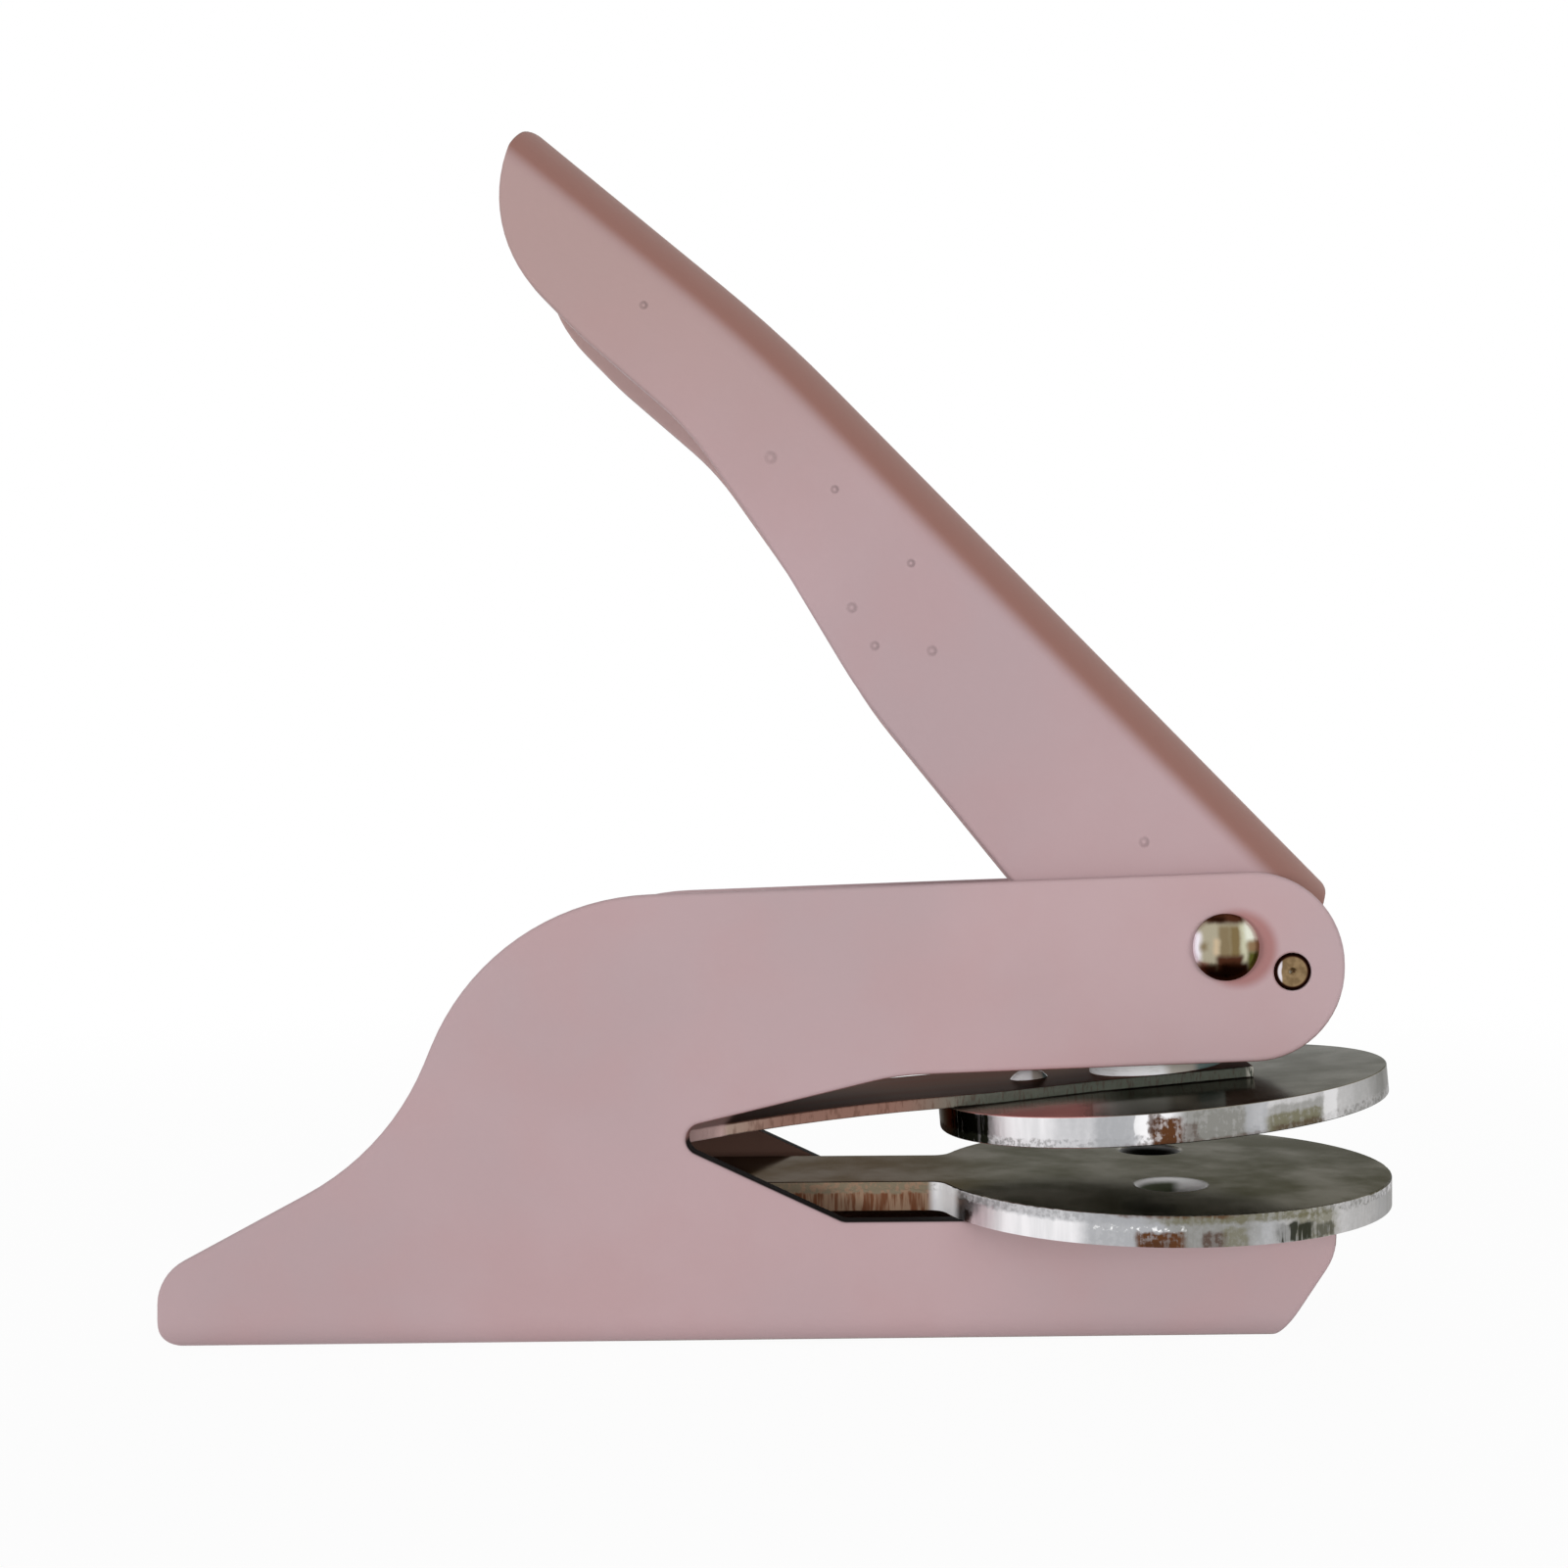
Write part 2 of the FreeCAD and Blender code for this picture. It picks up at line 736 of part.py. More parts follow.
def make_pieces():
    return {
        "frame_channel": make_frame(),
        "pivot_rivet": make_pivot_rivet(),
        "stop_pin": make_stop_pin(),
        "lower_die_plate": make_lower_plate(),
        "root_block": make_root_block(),
        "root_rivets": make_root_rivets(),
        "handle_lever": make_lever(),
        "press_cam": make_cam(),
        "cam_rivet": make_cam_rivet(),
        "pivot_spacers": make_spacers(),
        "leaf_spring": make_leaf(),
        "upper_die_plate": make_upper_plate(),
        "leaf_rivet": make_leaf_rivet(),
        "press_post": make_post(),
    }


def main():
    os.makedirs("parts", exist_ok=True)
    for name, shape in make_pieces().items():
        if not shape.isValid() or len(shape.Solids) == 0:
            raise ValueError(name + " is not a valid solid")
        shape.exportStep("parts/" + name + ".step")
        box = shape.BoundBox
        print(name, len(shape.Solids), "solids, volume %.1f" % shape.Volume,
              "x %.1f to %.1f, y %.1f to %.1f, z %.1f to %.1f"
              % (box.XMin, box.XMax, box.YMin, box.YMax, box.ZMin, box.ZMax))
    print("the post's ball centre is at x %.3f and falls %.4f per radian of the lever"
          % (post_ball_centre().x, cam_lead()))


main()
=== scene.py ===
# %% [markdown]
# A hand press for embossing seals. The base and the hand lever are channels bent from steel sheet and
# sprayed a dusty pink. Two round plates of polished steel stick out of the throat, the upper one on a
# flat spring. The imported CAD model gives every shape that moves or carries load, so this script loads
# it as a fixed frame, and its work is the finishes, the light and the camera. Modelling it again here
# would give two truths about each size. The one shape made here is the spring strip, because it bends.

# %% Load the frame
import math

import bmesh
import bpy
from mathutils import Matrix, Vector


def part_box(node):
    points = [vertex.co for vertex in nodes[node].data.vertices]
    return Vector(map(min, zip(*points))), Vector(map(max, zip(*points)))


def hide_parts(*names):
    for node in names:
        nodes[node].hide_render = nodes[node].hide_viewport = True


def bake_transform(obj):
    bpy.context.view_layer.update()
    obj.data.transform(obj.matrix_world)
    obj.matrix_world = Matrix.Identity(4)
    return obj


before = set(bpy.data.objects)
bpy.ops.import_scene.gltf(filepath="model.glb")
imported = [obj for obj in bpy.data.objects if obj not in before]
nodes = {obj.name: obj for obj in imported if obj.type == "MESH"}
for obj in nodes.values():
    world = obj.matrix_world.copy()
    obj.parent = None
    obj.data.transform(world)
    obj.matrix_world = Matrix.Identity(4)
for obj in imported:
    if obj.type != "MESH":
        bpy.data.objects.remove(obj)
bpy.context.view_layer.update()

print("pieces in the frame:", len(nodes))

# %% [markdown]
# Every finish here is a small node tree, and most of a tree is arithmetic on masks: where the edge is,
# how dirty it is, how deep the grain goes. Python can write that as plain sums if a socket knows what
# + and * mean, so one class wraps a socket and turns each operator into a Math node. The reflected
# forms make 1 - mask work as well. Numbers that meet only numbers stay in Python.

# %% A socket with arithmetic
class Strand:
    """An output of a node, on which + - and * add Math nodes."""

    def __init__(self, finish, socket):
        self.finish = finish
        self.socket = socket

    def maths(self, operation, *values):
        return self.finish.node("ShaderNodeMath", {"operation": operation}, values)

    def __add__(self, other):
        return self.maths("ADD", self, other)

    def __sub__(self, other):
        return self.maths("SUBTRACT", self, other)

    def __mul__(self, other):
        return self.maths("MULTIPLY", self, other)

    def __rsub__(self, other):
        return self.maths("SUBTRACT", other, self)

    def __abs__(self):
        return self.maths("ABSOLUTE", self)

    def or_more(self, other):
        return self.maths("MAXIMUM", self, other)

    __radd__ = __add__
    __rmul__ = __mul__

# %% [markdown]
# A finish is one material. Its node method is the only place that adds nodes: it takes the type, the
# settings, which have to be set before the sockets because they can change them, and then the values
# or strands for the sockets. What is the same all over goes straight onto the shader's own sockets.

# %% A finish
class Finish:
    """A material around one Principled shader, built a node at a time."""

    def __init__(self, name, fixed):
        self.material = bpy.data.materials.new(name)
        self.material.use_nodes = True
        self.tree = self.material.node_tree
        self.shader = self.tree.nodes["Principled BSDF"]
        for socket, value in fixed.items():
            self.shader.inputs[socket].default_value = value
        coordinates = self.tree.nodes.new("ShaderNodeTexCoord")
        self.place = Strand(self, coordinates.outputs["Object"])
        self.facing = Strand(self, coordinates.outputs["Normal"])

    def node(self, kind, settings, sockets, output=0):
        made = self.tree.nodes.new(kind)
        for name, value in settings.items():
            setattr(made, name, value)
        named = sockets.items() if isinstance(sockets, dict) else enumerate(sockets)
        for key, value in named:
            if isinstance(value, Strand):
                self.tree.links.new(value.socket, made.inputs[key])
            else:
                made.inputs[key].default_value = value
        return Strand(self, made.outputs[output])

    def feed(self, socket, strand):
        self.tree.links.new(strand.socket, self.shader.inputs[socket])

    def coat(self, *objects):
        for each in objects:
            each.data.materials.clear()
            each.data.materials.append(self.material)

# %% [markdown]
# These helpers come back in most finishes: a noise of a given grain, a soft step between two values, a
# mix of two colours, a bump, and the ways to say where a point is and where the surface faces. The grain
# is given in millimetres, as one would describe it at the bench, and the place is stretched first where
# a texture runs one way, such as brushing or shearing.

# %% Helpers for every finish
MM = 0.001


def grain(finish, size_mm, detail, stretch=(1, 1, 1)):
    """Noise between 0 and 1 whose lumps are about this many millimetres across."""
    stretched = finish.node("ShaderNodeVectorMath", {"operation": "MULTIPLY"}, [finish.place, stretch])
    sockets = {"Vector": stretched, "Scale": 1 / (size_mm * MM), "Detail": detail, "Roughness": 0.55}
    return finish.node("ShaderNodeTexNoise", {}, sockets)


def step(finish, value, low, high):
    """0 below low, 1 above high and smooth in between; the other way round if low is above high."""
    settings = {"interpolation_type": "SMOOTHSTEP"}
    sockets = {"Value": value, "From Min": low, "From Max": high}
    return finish.node("ShaderNodeMapRange", settings, sockets)


def step_mm(finish, value, low, high):
    """The same step over a length, with its two ends in millimetres."""
    return step(finish, value, low * MM, high * MM)


def tint(finish, share, first, second):
    """The first colour where the share is 0 and the second where it is 1."""
    return finish.node("ShaderNodeMix", {"data_type": "RGBA"}, {0: share, 6: first, 7: second}, 2)


def relief(finish, height, depth_mm, rounded=None):
    """Feeds the shader a bump of this depth where the height goes from 0 to 1."""
    sockets = {"Strength": 1.0, "Distance": depth_mm * MM, "Height": height}
    if rounded:
        sockets["Normal"] = rounded
    finish.feed("Normal", finish.node("ShaderNodeBump", {}, sockets))


def rgb(red, green, blue):
    """A colour as it is read on a screen, 0 to 255, turned into light."""
    shares = [value / 255 for value in (red, green, blue)]
    light = [((share + 0.055) / 1.055) ** 2.4 if share > 0.04045 else share / 12.92 for share in shares]
    return (*light, 1.0)


def axis_of(finish, vector, letter):
    return finish.node("ShaderNodeSeparateXYZ", {}, [vector], "XYZ".index(letter))


def dot(finish, first, second):
    """How far one direction or place lies along another."""
    return finish.node("ShaderNodeVectorMath", {"operation": "DOT_PRODUCT"}, [first, second], 1)


def away_from(finish, centre, across=(1, 1, 1)):
    """The distance from a point, or from a line through it along the axis whose share is 0."""
    flat = finish.node("ShaderNodeVectorMath", {"operation": "MULTIPLY"}, [finish.place, across])
    level = [value * share for value, share in zip(centre, across)]
    return finish.node("ShaderNodeVectorMath", {"operation": "DISTANCE"}, [flat, level], 1)


def inside_box(finish, low, high):
    """1 inside a box, 0 outside."""
    share = 1.0
    for letter, start, stop in zip("XYZ", low, high):
        reach = (stop - start) / 2
        away = abs(axis_of(finish, finish.place, letter) - (start + reach))
        share = share * finish.node("ShaderNodeMath", {"operation": "LESS_THAN"}, [away, reach])
    return share


print("one millimetre is", MM, "of the scene's units")

# %% [markdown]
# The pink is a powder coat: paint dust melted in an oven. It has a soft sheen, a faint orange peel and
# a slow drift in tone where the layer is thicker. Sprayed steel looks dead with one flat colour, so the
# tone drifts over centimetres, the peel is a bump about a millimetre across, and the roughness follows
# the fine dust. The sheet's edges are sharp in the CAD and soft on the press. A bevel of the normal
# rounds them for the light, and their coat carries a painted highlight where they look left or up, and
# a browner painted shade where they look right or down.

# %% Tones of the coat, and painted light on its edges
PINK = rgb(190, 163, 166)
PINK_COOL = rgb(183, 160, 163)
PINK_WARM = rgb(187, 156, 158)
EDGE_SHADE = rgb(150, 100, 94)
EDGE_HIGHLIGHT = rgb(216, 194, 196)
EDGE_LIT = (-0.94, 0.0, 0.33)
EDGE_ROUND = 0.45


def edges_with_painted_light(coat, base, in_throat):
    """The coat's colour with a painted highlight and painted shade on its edges, and the normal that
    rounds them for the light.
    """
    rounded = coat.node("ShaderNodeBevel", {"samples": 6}, {"Radius": EDGE_ROUND * MM})
    flat = coat.node("ShaderNodeNewGeometry", {}, {}, "Normal")
    turned = step(coat, dot(coat, rounded, flat), 0.98, 0.80)
    # Painted highlight on edges that look towards the lamp, painted shade on those that look away.
    lit = dot(coat, rounded, EDGE_LIT)
    pale = turned * step(coat, lit, 0.02, 0.2) * (1 - in_throat)
    base = tint(coat, 0.75 * (turned * step(coat, lit, 0.0, -0.2)), base, EDGE_SHADE)
    return tint(coat, 0.65 * pale, base, EDGE_HIGHLIGHT), rounded


print("edges are rounded for the light by", EDGE_ROUND, "mm")

# %% [markdown]
# The bend along the lever's top faces away from the photo's lamp and is in a brown shade there, with a
# pinker stripe on the very top. Plain lamps can't give one bend another colour, so the shade is painted,
# and only on the side that the photo shows. The walls are a little deeper in tone than the base, and
# the coat turns darker and browner towards the tip. Less light gets into the hollow here than in the
# photo, so the inner face of the far wall is written paler.

# %% Painted light and shade, and tones, of the lever
LEVER_UP = (0.70, 0.0, 0.71)
BEND_BROWN = rgb(146, 106, 97)
BEND_TOP = rgb(164, 126, 117)
TOP_PINK = rgb(184, 154, 154)
HOLLOW_PALE = rgb(236, 206, 204)
LEVER_DEEP = rgb(166, 142, 146)
TIP_BROWN = rgb(168, 136, 126)
TIP_RISE = (78, 118)


def lever_shade_and_tone(coat, base):
    rise = dot(coat, coat.facing, LEVER_UP)
    across = axis_of(coat, coat.place, "Y")
    # Painted shade on the bend along the top, only on the near side.
    near_side = step_mm(coat, across, 2, -4)
    base = tint(coat, step(coat, rise, 0.03, 0.42) * near_side, base, BEND_BROWN)
    base = tint(coat, step(coat, rise, 0.45, 1.0) * near_side, base, BEND_TOP)
    # Painted light on the inner face of the far wall.
    hollow = step(coat, axis_of(coat, coat.facing, "Y"), -0.4, -0.8) * step(coat, across, 0.0, MM)
    base = tint(coat, 0.8 * hollow, base, HOLLOW_PALE)
    base = tint(coat, step(coat, rise, 0.94, 0.995), base, TOP_PINK)
    wall = step(coat, rise, 0.42, 0.03)
    base = tint(coat, 0.25 * wall, base, LEVER_DEEP)
    # The coat turns darker and browner towards the tip.
    tip_share = step_mm(coat, axis_of(coat, coat.place, "Z"), *TIP_RISE)
    return tint(coat, 0.50 * tip_share * wall, base, TIP_BROWN)


# The tip's darker, browner tone grows over these heights above the desk.
print("the tan of hands grows over these mm above the desk:", TIP_RISE)

# %% [markdown]
# The base carries painted shade and a painted shadow. The inside of the narrow channel near the throat
# lies in shade, so its coat is painted a dark brown there. The edges round the throat lie in shade too,
# painted near black where they look up and a dull red where they look down. The red patch beside the
# pivot rivet's head is the head's painted shadow, a round patch that lies a little off the rivet's
# middle.

# %% Painted shade and shadow on the base
RIVET_SHADOW_RED = rgb(158, 104, 100)
INSIDE_SHADE = rgb(108, 78, 62)
THROAT_EDGE_SHADE = rgb(14, 9, 8)
THROAT_UNDER_SHADE = rgb(140, 104, 100)
THROAT_LOW = (-0.0715, -0.015, 0.010)
THROAT_HIGH = (0.020, 0.015, 0.036)
INNER_FACE = 0.01105
RIVET_SHADOW_CENTRE = (0.0068, 0.0, 0.0412)
RIVET_SHADOW_RADII = (4.6, 3.3)
INSIDE_X = (-66, -54)
INSIDE_Z = (42, 32)


def frame_painted_shade(coat, base, in_throat):
    """The colour with its painted shade and painted shadow, and the share of throat edge in painted
    shade.
    """
    # Painted shadow of the pivot rivet's head.
    rivet_shadow = step_mm(coat, away_from(coat, RIVET_SHADOW_CENTRE, (1, 0, 1)), *RIVET_SHADOW_RADII)
    base = tint(coat, 0.8 * rivet_shadow, base, RIVET_SHADOW_RED)
    # Painted shade inside the channel near the throat.
    inside = step(coat, abs(axis_of(coat, coat.place, "Y")), INNER_FACE, INNER_FACE - 0.02 * MM)
    inside = inside * step_mm(coat, axis_of(coat, coat.place, "X"), *INSIDE_X)
    inside = inside * step_mm(coat, axis_of(coat, coat.place, "Z"), *INSIDE_Z)
    base = tint(coat, 0.92 * inside, base, INSIDE_SHADE)
    # Painted shade on the throat's edges: near black looking up, a dull red looking down.
    cut = step(coat, abs(axis_of(coat, coat.facing, "Y")), 0.85, 0.45) * in_throat
    upright = step(coat, axis_of(coat, coat.facing, "Z"), -0.2, 0.2)
    return tint(coat, cut, base, tint(coat, upright, THROAT_UNDER_SHADE, THROAT_EDGE_SHADE)), cut


print("the channel's inner faces are %.2f mm from the middle" % (INNER_FACE / MM))

# %% [markdown]
# Now the coat itself, once for the base and once for the lever. The lever's wall also has a few pimples,
# where dust got under the coat. Each is given by its place on the wall and its radius in millimetres,
# and stands up as a small cone in the bump.

# %% Pink powder coat
LEVER_WALL_Y = -10.7
PIMPLE_HEIGHT = 9
PEEL_DEPTH = 0.035
PIMPLES = [
    (-42.2, 92.7, 0.55), (-33.7, 77.0, 0.45), (-31.3, 73.0, 0.40), (-25.3, 72.5, 0.45),
    (-2.9, 52.4, 0.45), (-55.4, 108.5, 0.35), (-35.5, 89.4, 0.35), (-27.5, 81.7, 0.35),
]


def powder_coat(name, for_lever):
    coat = Finish(name, {"Specular IOR Level": 0.28, "Coat Weight": 0.0, "Metallic": 0.0})
    drift = step(coat, grain(coat, 38, 2), 0.35, 0.65)
    patch = step(coat, grain(coat, 14, 3), 0.40, 0.72)
    dust = grain(coat, 0.35, 2)
    base = tint(coat, drift, PINK, PINK_COOL)
    base = tint(coat, patch * 0.55, base, PINK_WARM)
    base = tint(coat, step(coat, dust, 0.62, 0.80) * 0.18, base, PINK_WARM)
    in_throat = 0.0 if for_lever else inside_box(coat, THROAT_LOW, THROAT_HIGH)
    base, rounded = edges_with_painted_light(coat, base, in_throat)
    if for_lever:
        base = lever_shade_and_tone(coat, base)
    else:
        base, cut = frame_painted_shade(coat, base, in_throat)
        dust = dust.or_more(4 * cut)
    coat.feed("Base Color", base)
    coat.feed("Roughness", 0.47 + 0.12 * dust)
    height = grain(coat, 1.3, 2) * 0.7 + dust * 0.3
    for x, z, radius in PIMPLES if for_lever else []:
        away = away_from(coat, (x * MM, LEVER_WALL_Y * MM, z * MM))
        height = height + PIMPLE_HEIGHT * step_mm(coat, away, 1.5 * radius, 0.2 * radius)
    relief(coat, height, PEEL_DEPTH, rounded)
    return coat


frame_coat = powder_coat("frame_powder_coat", False)
lever_coat = powder_coat("lever_powder_coat", True)
frame_coat.coat(nodes["frame_channel"])
lever_coat.coat(nodes["handle_lever"])
print("powder coat nodes:", len(frame_coat.tree.nodes), "and", len(lever_coat.tree.nodes))

# %% [markdown]
# The round plates are blanked from polished strip. The faces keep the strip's polish and mirror what
# stands on them. The rims are sheared: the punch burnishes one part bright and streaks it from top to
# bottom, and the other part tears off rough. The rim is so shiny that it mirrors the room as upright
# stripes, and these stripes and its glints are painted into its colour as painted reflections. Rust and
# grease stain it in places. These are all tones of one steel, listed first.

# %% Tones of the plates
FACE_DARK = rgb(122, 119, 108)
FACE_LIGHT = rgb(152, 146, 133)
FACE_THROAT_REFLECTION = rgb(124, 96, 80)
FACE_ARM_REFLECTION = rgb(214, 146, 140)
SUNK_GREEN = rgb(88, 94, 76)
SUNK_SHADE = rgb(16, 15, 12)
RIM_BRIGHT = rgb(250, 248, 250)
RIM_GREY = rgb(226, 225, 227)
TORN = rgb(172, 170, 170)
NECK_TAN = rgb(154, 126, 104)
NECK_BROWN = rgb(112, 70, 48)
NECK_TORN = rgb(132, 120, 100)
# White, spark, silver and grey are painted reflections and painted glints of the room.
TONES = {
    "white": rgb(254, 253, 254),
    "spark": rgb(255, 255, 255),
    "silver": rgb(172, 173, 176),
    "grey": rgb(138, 137, 132),
    "olive": rgb(112, 108, 80),
    "rust": rgb(94, 60, 38),
    "brown": rgb(76, 50, 36),
    "black": rgb(44, 46, 36),
    "umber": rgb(92, 76, 62),
}
GRAZING_SHARE = (0.24, 0.24, 0.22, 1.0)
print("tones for the marks on a rim:", len(TONES))

# %% [markdown]
# The marks on a rim are a table, and many of them are painted reflections of the room. Each is stated
# as a tone, a place along the rim, a half width, the two heights between which it lies as shares of the
# sheet, and a strength. They are laid over the rim in turn, and their edges are broken up by the same
# grain as the rim. Only the rim's front half has them, the side that the photo shows.
#
# The locating holes are countersunk. The cutter left a burr round them, which is painted white as a
# painted highlight, and the slope under it carries a painted reflection, dark on one side and white on
# the other, with painted shade in the far hole. A hole is given by its side of the plate and the
# strength of its burr's painted highlight, and a burr by the radii where it starts, is highest and ends.

# %% Marks on a rim and burrs round the holes
FRONT_EDGE = -1.0
HOLE_PITCH = 20.6
HOLE_RING = (3.2, 3.75, 4.1)
# The near hole's painted highlight is full, the far one's weaker, as it lies in shade.
HOLES = ((-1, 1.0), (1, 0.3))


def marked(steel, edge, along, level, masks, marks):
    """The rim's colour with its marks, many of them painted reflections, laid over it in turn."""
    for tone, place, half, low, high, strength in marks:
        beside = step_mm(steel, abs(along - place * MM), 1.25 * half, 0.75 * half)
        reach = (high - low) / 2
        within = step(steel, abs(level - (low + reach)), reach + 0.07, reach - 0.07)
        mask = masks.get(tone, masks["soft"])
        edge = tint(steel, strength * (beside * within) * mask, edge, TONES[tone])
    return edge


def hole_masks(steel):
    """1 on the raised burr round the two countersunk holes, and 1 inside it."""
    burr = sunk = 0.0
    inner, middle, outer = HOLE_RING
    for side, strength in HOLES:
        away = away_from(steel, (0.0, side * HOLE_PITCH / 2 * MM, 0.0), (1, 1, 0))
        ring = step_mm(steel, away, inner, middle) * step_mm(steel, away, outer, middle)
        burr = (strength * ring).or_more(burr)
        sunk = step_mm(steel, away, middle, 0.96 * middle).or_more(sunk)
    return burr, sunk


print("the holes lie", HOLE_PITCH, "mm apart")

# %% [markdown]
# A plate's face is hazy from fingers, and its rear carries a painted reflection of the brown inside of
# the throat. The upper one also carries a painted reflection of the pink arm in the part of its rear that
# is nearest the viewer, soft, because the haze breaks the mirror up. The neck's sides have brown stripes
# below, like burnt oil, and a torn band above.

# %% Face and neck of a plate
NECK_X = (-25.0, -26.0)
GREASE_X = (-22.3, -23.2)


def plate_face(steel, smear, along, across, red_share):
    """The face's colour with its painted reflections, and the share of it under the pink arm's painted
    reflection.
    """
    face = tint(steel, step(steel, smear, 0.35, 0.7), FACE_DARK, FACE_LIGHT)
    # Painted reflections: the throat's brown at the rear, the pink arm nearer the viewer.
    face = tint(steel, 0.85 * step_mm(steel, along, -14, -34), face, FACE_THROAT_REFLECTION)
    arm_reflection = red_share * step_mm(steel, along, -6, -11) * step_mm(steel, across, -9, -15)
    arm_reflection = arm_reflection * step(steel, smear, 0.25, 0.45)
    return tint(steel, arm_reflection, face, FACE_ARM_REFLECTION), arm_reflection


def neck_sides(steel, edge, along, streak, crumbs, ragged):
    """The rim's colour, with the neck's sides laid over it."""
    stripes = tint(steel, step(steel, streak, 0.40, 0.58), NECK_TAN, NECK_BROWN)
    rough = tint(steel, step(steel, crumbs, 0.45, 0.6), NECK_TORN, NECK_TAN)
    neck = tint(steel, step(steel, ragged, 0.56, 0.66), stripes, rough)
    return tint(steel, step_mm(steel, along, *NECK_X), edge, neck)


print("the neck starts at", NECK_X[0], "mm")

# %% [markdown]
# One finish does both plates. The facing of the surface tells the face from the rim, and the height above
# the plate's underside tells the burnished band from the torn one. The upper plate is tilted, so its
# heights are measured along its own axis. Its torn band is at the bottom, because it was punched from
# above, and the lower plate's is at the top.

# %% Polished plate with a sheared rim
PLATE_SHEET = 3.1


def plate_steel(name, up, underside_mm, marks, torn_low, red_share):
    """Up is the plate's axis, and the underside is its height along that axis."""
    steel = Finish(name, {"Specular Tint": GRAZING_SHARE})
    upwards = abs(dot(steel, steel.facing, up))
    level = (dot(steel, steel.place, up) - underside_mm * MM) * (1 / (PLATE_SHEET * MM))
    rim = step(steel, upwards, 0.75, 0.35)
    along = axis_of(steel, steel.place, "X")
    across = axis_of(steel, steel.place, "Y")
    smear = grain(steel, 9, 4)
    face, arm_reflection = plate_face(steel, smear, along, across, red_share)

    streak = grain(steel, 0.55, 3, (1, 1, 0.10))
    slow = grain(steel, 3.0, 2, (1, 1, 0.2))
    lump = grain(steel, 0.9, 3)
    crumbs = grain(steel, 0.50, 3)
    fine = step(steel, streak * 0.5 + crumbs * 0.5, 0.42, 0.54)
    ragged = level + 0.30 * (lump - 0.5)
    # Painted reflection: the room's upright stripes on the burnished band.
    edge = tint(steel, step(steel, streak * 0.2 + slow * 0.8, 0.36, 0.62), RIM_GREY, RIM_BRIGHT)
    torn = step(steel, ragged, 0.34, 0.24) if torn_low else step(steel, ragged, 0.68, 0.78)
    edge = tint(steel, 0.85 * (torn * step(steel, crumbs, 0.42, 0.62)), edge, TORN)
    front = step_mm(steel, across, FRONT_EDGE, 3 * FRONT_EDGE)
    masks = {"soft": front * (0.88 + 0.12 * fine)}
    masks["rust"] = masks["brown"] = masks["olive"] = front * (0.60 + 0.40 * fine)
    masks["black"] = front * (0.4 + 0.6 * step(steel, streak, 0.42, 0.50))
    masks["spark"] = front * step(steel, crumbs, 0.53, 0.60)
    bent = along + 0.8 * MM * (lump - 0.5) + 1.6 * MM * (slow - 0.5)
    edge = marked(steel, edge, bent, ragged, masks, marks)
    edge = neck_sides(steel, edge, along, streak, crumbs, ragged)

    burr, sunk = hole_masks(steel)
    side = step(steel, level, 0.55, 0.45) if torn_low else step(steel, level, 0.45, 0.55)
    burr = burr * side * (1 - rim)
    sunk = sunk * side * step(steel, upwards, 0.97, 0.90) * step(steel, level, -0.01, 0.01)
    # Painted highlight and reflection in the holes: white on the burr and the lit slope, green in the
    # near hole, and painted shade in the far one.
    lit = step(steel, axis_of(steel, steel.facing, "X"), -0.05, -0.40) * front
    hollow = tint(steel, lit, tint(steel, front, SUNK_SHADE, SUNK_GREEN), TONES["white"])
    colour = tint(steel, sunk, tint(steel, rim, face, edge), hollow)
    steel.feed("Base Color", tint(steel, burr, colour, TONES["white"]))

    rub = grain(steel, 0.25, 3, (1, 0.05, 1))
    steel.feed("Roughness", 0.09 + 0.05 * rub + rim * (0.18 + 0.20 * torn) + 0.35 * burr.or_more(sunk))
    haze = step(steel, smear, 0.30, 0.70)
    shaded = red_share * step_mm(steel, along, -4, -8)
    greasy = step_mm(steel, along, *GREASE_X)
    dull = (0.16 * haze + 0.30 * shaded + 0.35 * arm_reflection) * (1 - rim)
    dull = dull + 0.85 * (1 - red_share) * (rim * greasy)
    steel.feed("Metallic", 1 - (0.8 * burr.or_more(sunk)).or_more(dull))
    relief(steel, rim * (streak * 0.15 + torn * crumbs * 0.7) + 0.02 * rub + 0.6 * burr * crumbs, 0.07)
    return steel


print("the plates' sheet is", PLATE_SHEET, "mm thick")

# %% [markdown]
# The two tables of marks follow the photo from the left of each rim to its right. The upper plate's axis
# leans back by the angle at which the open jaw stands, and both undersides are measured on the frame.

# %% Marks of the two plates
JAW_TILT = math.radians(5.15)
LOWER_MARKS = [
    ("white", -23.6, 1.3, -0.3, 1.3, 1.0),
    ("brown", -21.5, 0.5, -0.3, 0.40, 0.9),
    ("silver", -12.0, 9.0, 0.66, 1.3, 0.6),
    ("silver", -5.6, 4.8, -0.3, 1.3, 0.95),
    ("silver", 2.0, 8.0, -0.3, 1.3, 0.9),
    ("grey", 2.4, 4.4, -0.3, 1.3, 0.9),
    ("grey", 14.5, 6.5, -0.3, 1.3, 0.6),
    ("olive", 5.5, 8.5, 0.74, 1.3, 0.75),
    ("rust", -1.5, 6.0, 0.93, 1.3, 0.8),
    ("spark", -5.0, 4.2, 0.50, 0.62, 1.0),
    ("rust", -2.9, 2.1, -0.3, 0.46, 1.0),
    ("brown", -3.0, 1.3, -0.3, 0.20, 0.6),
    ("brown", 2.2, 1.2, -0.3, 0.48, 0.8),
    ("olive", 4.4, 1.4, -0.3, 0.60, 0.6),
    ("olive", 13.0, 2.6, -0.05, 0.85, 0.7),
    ("black", 10.8, 1.9, 0.00, 0.60, 0.95),
    ("black", 14.0, 1.2, 0.02, 0.45, 0.6),
]
